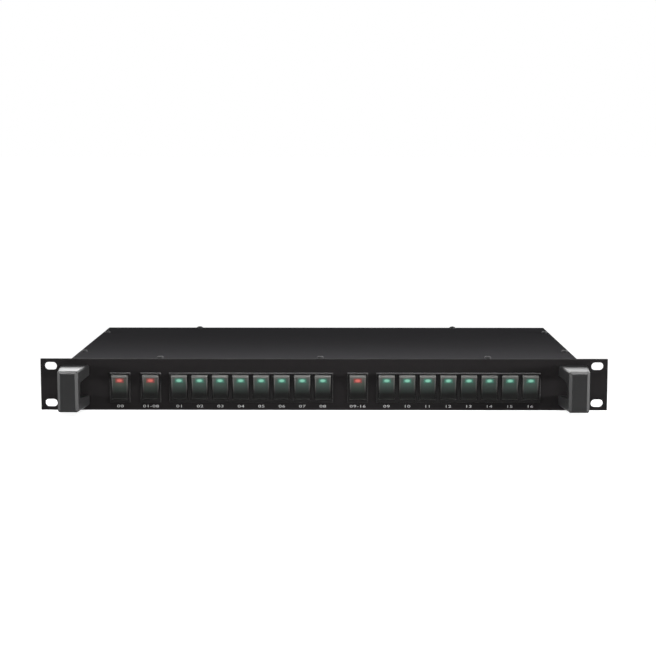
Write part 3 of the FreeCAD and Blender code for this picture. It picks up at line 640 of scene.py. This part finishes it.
@dataclass
class FrontPanel:
    """The panel, its bezels and the numbers printed under the buttons.

    The text stands with its middle at text_up, and ink is how thick it is.
    """

    frame: dict
    text_height: float = 0.0022
    text_stretch: float = 1.75
    text_up: float = 0.0034
    text_gap: float = 1.08
    text_steps: int = 3
    ink: float = 0.00004
    lip_height: float = 0.001
    labels: dict[str, str] = field(default_factory=lambda: {
        "all": "00", "group_1": "01-08", "group_2": "09-16",
        **{f"channel_{number}": f"{number:02d}" for number in range(1, 17)}})

    def build(self) -> list[str]:
        """Dress the panel and print its numbers.

        Returns:
            The pieces made or dressed.
        """
        # The panel's edges are lightened a little, as abrasion and as a painted edge highlight
        panel = Finish("panel_paint", (0.0158, 0.0147, 0.0151), roughness=0.62, specular=0.012, mottle=0.07,
                       mottle_size=0.08, grain=0.000012, grain_size=0.00045, edge=0.0002, wear_and_sheen=0.1)
        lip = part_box("group_bezels")[1].z - self.lip_height
        # The bezel trim's edges are lightened strongly, as a painted highlight with some abrasion, and its
        # lip gets a painted highlight too
        trim = TrimFinish("bezel_trim", (0.008, 0.0076, 0.0077), roughness=0.4, specular=0.12, mottle=0.05,
                          mottle_size=0.03, grain=0.000008, grain_size=0.0004, edge=0.0003, wear_and_sheen=1.0,
                          wear_and_sheen_colour=(0.14, 0.136, 0.137), lip=lip)
        paint("front_panel", panel.make(), self.frame)
        paint("group_bezels", trim.make(), self.frame)
        return ["front_panel", "group_bezels", self.print_numbers()]

    def print_numbers(self) -> str:
        """Print every label as one thin piece of ink on the panel's face.

        Returns:
            The piece's name.
        """
        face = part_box("front_panel")[0].y
        shape = bmesh.new()
        for name, words in self.labels.items():
            curve = bpy.data.curves.new("label", "FONT")
            curve.body = words
            curve.size = self.text_height / DIGIT_SHARE
            curve.align_x = "CENTER"
            curve.extrude = self.ink / 2
            curve.resolution_u = self.text_steps
            curve.space_character = self.text_gap
            carrier = bpy.data.objects.new("label", curve)
            bpy.context.scene.collection.objects.link(carrier)
            bpy.context.view_layer.update()
            mesh = bpy.data.meshes.new_from_object(carrier)
            stand = (Matrix.Translation((middle(f"button_{name}").x, face - self.ink / 2,
                                         self.text_up - self.text_height / 2))
                     @ Matrix.Rotation(math.pi / 2, 4, "X") @ Matrix.Diagonal((self.text_stretch, 1, 1, 1)))
            mesh.transform(stand)
            shape.from_mesh(mesh)
            bpy.data.objects.remove(carrier)
            bpy.data.curves.remove(curve)
            bpy.data.meshes.remove(mesh)
        bmesh.ops.remove_doubles(shape, verts=shape.verts, dist=MERGE_WITHIN)
        ink = Finish("white_ink", (0.5, 0.5, 0.495), roughness=0.6, mottle=0.12, mottle_size=0.003,
                     edge=0.00002)
        piece = new_mesh("button_numbers", shape, ink.make())
        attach(piece, "unit")
        return piece.name


@dataclass
class Handles:
    """The two bow handles and the screws that hold them."""

    frame: dict

    def build(self) -> list[str]:
        """Dress the handles.

        Returns:
            The pieces dressed.
        """
        satin = Finish("handle_satin", (0.016, 0.016, 0.0163), roughness=0.34, specular=0.2, mottle=0.06,
                       mottle_size=0.03, grain=0.000008, grain_size=0.0005, edge=0.0005, wear_and_sheen=0.2)
        made = satin.make()
        for side in ("left", "right"):
            paint(f"handle_{side}", made, self.frame)
        steel = Finish("handle_screw_steel", (0.55, 0.55, 0.54), roughness=0.35, metallic=1.0)
        paint("handle_screws", steel.make(), self.frame)
        return ["handle_left", "handle_right", "handle_screws"]


@dataclass
class Casing:
    """The painted sheet box behind the panel."""

    frame: dict
    plates: tuple[str, ...] = ("top_cover", "side_left", "side_right", "base_plate", "rear_panel",
                               "front_rail")

    def build(self) -> list[str]:
        """Dress the plates.

        Returns:
            The pieces dressed.
        """
        coat = Finish("box_paint", (0.0405, 0.0396, 0.0419), roughness=0.85, specular=0.0, mottle=0.06,
                      mottle_size=0.12, grain=0.00003, grain_size=0.0008, edge=0.00025, wear_and_sheen=0.08)
        made = coat.make()
        for plate in self.plates:
            paint(plate, made, self.frame)
        return list(self.plates)


@dataclass
class PanScrews:
    """The pan head screws of the cover and the rear, with their crossed recesses.

    Head and thread are radii, and recess is half the length of a slot. The dome turns are angles on its
    outline. Reach is longer than a screw, and shorter than the way to its neighbour.
    """

    frame: dict
    head: float = 0.0029
    crown: float = 0.0019
    rim_highlight_share: float = 0.42
    dome_turns: tuple[float, ...] = (1.3, 1.05, 0.7, 0.35, 0.0)
    thread: float = 0.00148
    length: float = 0.006
    tip: float = 0.0005
    tip_share: float = 0.7
    facets: int = 28
    recess: float = 0.0017
    recess_half_width: float = 0.0003
    recess_depth: float = 0.0012
    recess_taper: float = 0.55
    cutter_over: float = 0.001
    twist: float = 0.9
    reach: float = 0.011

    def one(self) -> bmesh.types.BMesh:
        """Make a single screw with its seat at the origin and its head up.

        Returns:
            The screw.
        """
        wall = self.crown * self.rim_highlight_share
        dome = [(self.head * math.cos(turn), wall + (self.crown - wall) * math.sin(turn))
                for turn in self.dome_turns]
        profile = [(0.0, self.crown), *dome, (self.head, 0.0), (self.thread, 0.0),
                   (self.thread, -self.length + self.tip), (self.thread * self.tip_share, -self.length),
                   (0.0, -self.length)]
        blank = turned(profile, self.facets)
        cutter = bmesh.new()
        for turn in (0.0, math.pi / 2):
            blade = bmesh.new()
            bar(blade, Vector((-self.recess, -self.recess_half_width, self.crown - self.recess_depth)),
                Vector((self.recess, self.recess_half_width, self.crown + self.cutter_over)))
            bmesh.ops.scale(blade, vec=(self.recess_taper, 1.0, 1.0),
                            verts=[vert for vert in blade.verts if vert.co.z < self.crown])
            join(cutter, blade, Matrix.Rotation(turn, 4, "Z"))
            blade.free()
        return self.cut(blank, cutter)

    def cut(self, blank: bmesh.types.BMesh, cutter: bmesh.types.BMesh) -> bmesh.types.BMesh:
        """Cut one shape out of another.

        Args:
            blank: The shape to keep. It is freed.
            cutter: The shape to take away. It is freed.

        Returns:
            What is left.
        """
        bare = bpy.data.materials.new("bare")
        body = new_mesh("screw_blank", blank, bare)
        tool = new_mesh("screw_cutter", cutter, bare)
        step = body.modifiers.new("recess", "BOOLEAN")
        step.object = tool
        step.operation = "DIFFERENCE"
        step.solver = "EXACT"
        step.use_self = True
        bpy.context.view_layer.update()
        ready = body.evaluated_get(bpy.context.evaluated_depsgraph_get())
        shape = bmesh.new()
        shape.from_mesh(ready.to_mesh())
        ready.to_mesh_clear()
        for spare in (body, tool):
            bpy.data.objects.remove(spare)
        bpy.data.materials.remove(bare)
        return shape

    def seats(self) -> list[Matrix]:
        """Find where each screw sits, from the separate solids in the CAD node.

        Returns:
            Each screw's place, with its head turned its own way.
        """
        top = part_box("top_cover")[1].z
        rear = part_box("rear_panel")[1].y
        spots = [vert.co for vert in self.frame["nodes"]["pan_screws"].data.vertices]
        heads: list[Vector] = []
        for spot in spots:
            if all((head - spot).length >= self.reach for head in heads):
                heads.append(spot.copy())
        found: list[list[Vector]] = [[] for _ in heads]
        for spot in spots:
            nearest = min(range(len(heads)), key=lambda number: (heads[number] - spot).length)
            found[nearest].append(spot)
        places = []
        for number, points in enumerate(found):
            low = Vector(min(point[axis] for point in points) for axis in range(3))
            high = Vector(max(point[axis] for point in points) for axis in range(3))
            centre = (low + high) / 2
            twist = Matrix.Rotation(number * self.twist, 4, "Z")
            if high.z > top:
                places.append(Matrix.Translation((centre.x, centre.y, top)) @ twist)
            else:
                places.append(Matrix.Translation((centre.x, rear, centre.z))
                              @ Matrix.Rotation(-math.pi / 2, 4, "X") @ twist)
        return places

    def build(self) -> list[str]:
        """Make every screw as one piece.

        Returns:
            The piece's name.
        """
        screw = self.one()
        shape = bmesh.new()
        for place in self.seats():
            join(shape, screw, place)
        screw.free()
        black = Finish("black_oxide", (0.027, 0.027, 0.028), roughness=0.55, specular=0.12, mottle=0.12,
                       mottle_size=0.004, grain=0.000006, grain_size=0.0003, edge=0.00008, wear_and_sheen=0.05)
        piece = new_mesh("cover_screws", shape, black.make())
        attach(piece, "unit")
        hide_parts("pan_screws")
        return [piece.name]


@dataclass
class LinkConnectors:
    """The four rear connectors, with their insulators and contacts.

    Contact and bore are radii. The insulator is an outline that narrows from half_top to half_foot.
    """

    frame: dict
    pitch: float = 0.00277
    row_gap: float = 0.00284
    upper: int = 13
    contact: float = 0.00085
    contact_depth: float = 0.0006
    contact_lift: float = 0.00005
    bore: float = 0.0005
    bore_depth: float = 0.0004
    insulator: float = 0.0002
    half_foot: float = 0.0168
    half_top: float = 0.0182
    half_height: float = 0.0035
    corner: float = 0.0018
    corner_steps: int = 4
    facets: int = 10
    post_width: float = 0.004

    def build(self) -> list[str]:
        """Dress the shells and posts, and add the insulators and contacts.

        Returns:
            The pieces made or dressed.
        """
        tin = Finish("tin_plate", (0.58, 0.57, 0.54), roughness=0.34, metallic=1.0, mottle=0.1,
                     mottle_size=0.006, grain=0.000005, grain_size=0.0004, edge=0.0003)
        made = tin.make()
        paint("link_connectors", made, self.frame)
        paint("connector_posts", made, self.frame)
        return ["link_connectors", "connector_posts", *self.faces()]

    def middles(self) -> list[Vector]:
        """Find the middle of each connector's face, midway between its two posts.

        Returns:
            The middles, from left to right.
        """
        low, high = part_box("connector_posts")
        posts = self.frame["nodes"]["connector_posts"].data
        spots = sorted({round(vert.co.x, 3) for vert in posts.vertices})
        groups: list[list[float]] = []
        for spot in spots:
            if groups and spot - groups[-1][-1] < self.post_width:
                groups[-1].append(spot)
            else:
                groups.append([spot])
        axes = [(group[0] + group[-1]) / 2 for group in groups]
        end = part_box("link_connectors")[1].y
        return [Vector(((left + right) / 2, end, (low.z + high.z) / 2))
                for left, right in zip(axes[::2], axes[1::2])]

    def faces(self) -> list[str]:
        """Make the insulators and the contacts.

        Returns:
            The two pieces' names.
        """
        plates, contacts = bmesh.new(), bmesh.new()
        profile = [(0.0, -self.bore_depth), (self.bore, -self.bore_depth), (self.bore, 0.0),
                   (self.contact, 0.0), (self.contact, -self.contact_depth), (0.0, -self.contact_depth)]
        ring = turned(profile, self.facets)
        corners = [(-self.half_foot, -self.half_height), (self.half_foot, -self.half_height),
                   (self.half_top, self.half_height), (-self.half_top, self.half_height)]
        out = Vector((0, 1, 0))
        for spot in self.middles():
            verts = [plates.verts.new((spot.x + across, spot.y, spot.z + up)) for across, up in corners]
            face = plates.faces.new(verts)
            grown = bmesh.ops.extrude_face_region(plates, geom=[face])["geom"]
            moved = [item for item in grown if isinstance(item, bmesh.types.BMVert)]
            bmesh.ops.translate(plates, vec=out * self.insulator, verts=moved)
            uprights = [edge for edge in plates.edges
                        if (edge.verts[0].co - edge.verts[1].co).cross(out).length < ALIGNED_WITHIN
                        and any(vert in verts or vert in moved for vert in edge.verts)]
            bmesh.ops.bevel(plates, geom=uprights, offset=self.corner, affect="EDGES",
                            segments=self.corner_steps, profile=0.5, material=-1)
            for row, count in enumerate((self.upper, self.upper - 1)):
                for number in range(count):
                    across = (number - (count - 1) / 2) * self.pitch
                    up = (0.5 - row) * self.row_gap
                    lift = self.insulator + self.contact_lift
                    place = Matrix.Translation((spot.x + across, spot.y + lift, spot.z + up))
                    join(contacts, ring, place @ Matrix.Rotation(-math.pi / 2, 4, "X"))
        ring.free()
        black = Finish("insulator_black", (0.012, 0.012, 0.014), roughness=0.45, mottle_size=0.01)
        gold = Finish("contact_gold", (0.55, 0.4, 0.16), roughness=0.3, metallic=1.0, mottle_size=0.002,
                      edge=0.00005)
        names = []
        for name, shape, finish in (("link_insulators", plates, black), ("link_contacts", contacts, gold)):
            piece = new_mesh(name, shape, finish.make())
            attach(piece, "unit")
            names.append(piece.name)
        return names


@dataclass
class MainsInlet:
    """The rear mains inlet, with its three bright blades, a skin larger than the solid ones."""

    frame: dict
    skin: float = 0.00006
    width: float = 0.002
    height: float = 0.004
    length: float = 0.0102
    spread: float = 0.007
    line_down: float = 0.0004
    earth_up: float = 0.0036
    socket_depth: float = 0.015
    root: float = 0.0002
    rounding: float = 0.0005

    def build(self) -> list[str]:
        """Dress the inlet and add its blades.

        Returns:
            The pieces made or dressed.
        """
        black = Finish("inlet_black", (0.014, 0.014, 0.015), roughness=0.5, mottle_size=0.01,
                       grain=0.00001, grain_size=0.0004, edge=0.0004)
        paint("mains_inlet", black.make(), self.frame)
        centre = middle("mains_inlet")
        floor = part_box("mains_inlet")[1].y - self.socket_depth
        blades = bmesh.new()
        half = Vector((self.width / 2 + self.skin, 0, self.height / 2 + self.skin))
        for across, up in ((-self.spread, -self.line_down), (self.spread, -self.line_down),
                           (0.0, self.earth_up)):
            spot = Vector((centre.x + across, floor, centre.z + up))
            bar(blades, spot - half - Vector((0, self.root, 0)), spot + half + Vector((0, self.length, 0)),
                self.rounding)
        nickel = Finish("blade_nickel", (0.66, 0.64, 0.58), roughness=0.25, metallic=1.0, mottle_size=0.003)
        piece = new_mesh("inlet_blades", blades, nickel.make())
        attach(piece, "unit")
        return ["mains_inlet", piece.name]


@dataclass
class Interior:
    """The boards and the parts on them, closed in by the box."""

    frame: dict
    finishes: dict[str, Finish] = field(default_factory=lambda: {
        "button_board": Finish("button_laminate", (0.02, 0.11, 0.045), roughness=0.4, coat=0.3,
                               mottle=0.2, mottle_size=0.01),
        "relay_board": Finish("relay_laminate", (0.02, 0.11, 0.045), roughness=0.4, coat=0.3,
                              mottle=0.2, mottle_size=0.012),
        "switch_modules": Finish("switch_black", (0.02, 0.02, 0.02), roughness=0.5, mottle_size=0.01),
        "relays": Finish("relay_orange", (0.6, 0.24, 0.04), roughness=0.45, mottle_size=0.012),
        "board_spacers": Finish("nickel_brass", (0.6, 0.56, 0.44), roughness=0.35, metallic=1.0),
        "power_transformer": Finish("potting_blue", (0.02, 0.03, 0.07), roughness=0.55, mottle_size=0.02),
        "ribbon_cable": Finish("ribbon_grey", (0.3, 0.31, 0.33), roughness=0.55, mottle=0.12,
                               mottle_size=0.004, stretch=(0.25, 6.0, 6.0))})

    def build(self) -> list[str]:
        """Dress the parts inside.

        Returns:
            The pieces dressed.
        """
        for node, finish in self.finishes.items():
            paint(node, finish.make(), self.frame)
        return list(self.finishes)


# Studio


@dataclass(frozen=True)
class SoftBox:
    """A soft box that the camera doesn't see: its place, what it points at, and its light.

    Sizes are in metres and the power is in watts. The spread is the angle that its grid leaves open, in
    degrees.
    """

    name: str
    place: Triple
    aim: Triple
    size: tuple[float, float]
    power: float
    spread: float

    def hang(self) -> None:
        """Add the lamp to the scene."""
        lamp = bpy.data.lights.new(self.name, "AREA")
        lamp.shape = "RECTANGLE"
        lamp.size, lamp.size_y = self.size
        lamp.energy = self.power
        lamp.spread = math.radians(self.spread)
        carrier = bpy.data.objects.new(self.name, lamp)
        carrier.location = self.place
        towards = Vector(self.aim) - Vector(self.place)
        carrier.rotation_euler = towards.to_track_quat("-Z", "Y").to_euler()
        carrier.visible_camera = False
        bpy.context.scene.collection.objects.link(carrier)


@dataclass
class Studio:
    """Pale floor, soft light and the camera.

    The floor glows to the camera, fully beyond shadow_reach, and glints in reflections. The sky lights the
    object at its own level. Reflections see it white, but for a dark part in front of the object. Sensor
    and focal length are in millimetres, and tilt and turn in degrees.
    """

    floor_size: float = 20.0
    floor_white: float = 0.5
    floor_glow: float = 0.8
    floor_glint: float = 0.4
    shadow_reach: tuple[float, float] = (0.4, 1.1)
    sky: float = 0.05
    front_dark: float = 0.12
    front_fade: tuple[float, float] = (-0.6, 0.2)
    lamps: tuple[SoftBox, ...] = (
        SoftBox("top", (0.0, -0.27, 0.8), (0.0, -0.22, 0.04), (1.1, 0.14), 1.3, 38.0),
        SoftBox("strip", (0.0, -0.3, 0.22), (0.0, -0.1, 0.03), (0.8, 0.1), 0.12, 110.0),
        SoftBox("back", (-0.05, 0.75, 0.36), (0.0, -0.14, 0.04), (1.2, 0.3), 0.4, 36.0),
        SoftBox("front", (0.35, -1.6, 0.7), (0.05, -0.1, 0.02), (1.4, 0.9), 1.6, 120.0),
        SoftBox("left", (-1.6, -0.42, 0.16), (0.1, -0.11, 0.03), (0.9, 0.2), 8.0, 90.0),
        SoftBox("right", (1.6, -0.42, 0.16), (-0.1, -0.11, 0.03), (0.9, 0.2), 13.0, 90.0),
        SoftBox("rear_left", (-1.5, 1.3, 0.45), (0.0, 0.1, 0.02), (1.8, 1.2), 6.5, 120.0),
        SoftBox("rear_right", (1.5, 1.3, 0.45), (0.0, 0.1, 0.02), (1.8, 1.2), 6.5, 120.0))
    sensor: float = 36.0
    focal: float = 88.9
    sight: float = 100.0
    stand: Triple = (0.01347, -1.46614, 0.22903)
    tilt: float = 6.624
    turn: float = 0.4153

    def build(self) -> None:
        """Make the floor, the light and the camera."""
        self.lay_floor()
        self.light_world()
        for lamp in self.lamps:
            lamp.hang()
        self.set_camera()

    def lay_floor(self) -> None:
        """A white sweep that keeps a faint shadow near the object."""
        shape = bmesh.new()
        bmesh.ops.create_grid(shape, x_segments=1, y_segments=1, size=self.floor_size)
        material = bpy.data.materials.new("sweep_white")
        material.use_nodes = True
        wiring = Wiring(material.node_tree)
        camera, mirror = wiring.rays()
        across, back, _ = wiring.place()
        far = wiring.maths("SQRT", across * across + back * back).between(*self.shadow_reach)
        level = camera * (self.floor_glow + far * (1.0 - self.floor_glow)) + mirror * self.floor_glint
        plain = wiring.node("ShaderNodeBsdfDiffuse", Color=(self.floor_white,) * 3)
        glow = wiring.node("ShaderNodeEmission", Strength=1.0, Color=wiring.scaled((1.0, 1.0, 1.0), level))
        both = wiring.node("ShaderNodeAddShader")
        wiring.feed(both.inputs[0], Signal(wiring, plain.outputs[0]))
        wiring.feed(both.inputs[1], Signal(wiring, glow.outputs[0]))
        wiring.node("ShaderNodeOutputMaterial", Surface=Signal(wiring, both.outputs[0]))
        new_mesh("floor", shape, material)

    def light_world(self) -> None:
        """A soft sky that reads white to the camera, and darker in front of the object to reflections."""
        world = bpy.data.worlds.new("studio")
        bpy.context.scene.world = world
        world.use_nodes = True
        wiring = Wiring(world.node_tree)
        camera, mirror = wiring.rays()
        coords = wiring.node("ShaderNodeTexCoord")
        apart = wiring.node("ShaderNodeSeparateXYZ", Vector=Signal(wiring, coords.outputs["Generated"]))
        ahead = Signal(wiring, apart.outputs["Y"]).between(*self.front_fade)
        mirrored = self.front_dark + ahead * (1.0 - self.front_dark)
        level = camera + (1.0 - camera) * (mirror * mirrored + (1.0 - mirror) * self.sky)
        back = wiring.node("ShaderNodeBackground", Color=(1.0, 1.0, 1.0), Strength=level)
        wiring.node("ShaderNodeOutputWorld", Surface=Signal(wiring, back.outputs[0]))

    def set_camera(self) -> None:
        """Stand the camera where the picture was taken."""
        lens = bpy.data.cameras.new("camera")
        lens.sensor_width = self.sensor
        lens.lens = self.focal
        lens.clip_end = self.sight
        carrier = bpy.data.objects.new("camera", lens)
        carrier.location = self.stand
        carrier.rotation_euler = (math.radians(90 - self.tilt), 0.0, math.radians(self.turn))
        bpy.context.scene.collection.objects.link(carrier)
        bpy.context.scene.camera = carrier


def main() -> None:
    """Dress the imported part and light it."""
    logging.basicConfig(level=logging.INFO, format="%(name)s: %(message)s")
    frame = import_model()
    parts = (FrontPanel(frame), ButtonRow(frame), Handles(frame), Casing(frame), PanScrews(frame),
             LinkConnectors(frame), MainsInlet(frame), Interior(frame))
    for part in parts:
        for piece in part.build():
            log.info("%s: %s", type(part).__name__, piece)
    Studio().build()
    bpy.context.scene.view_settings.view_transform = "Standard"
    bpy.context.view_layer.update()


if __name__ == "__main__":
    main()
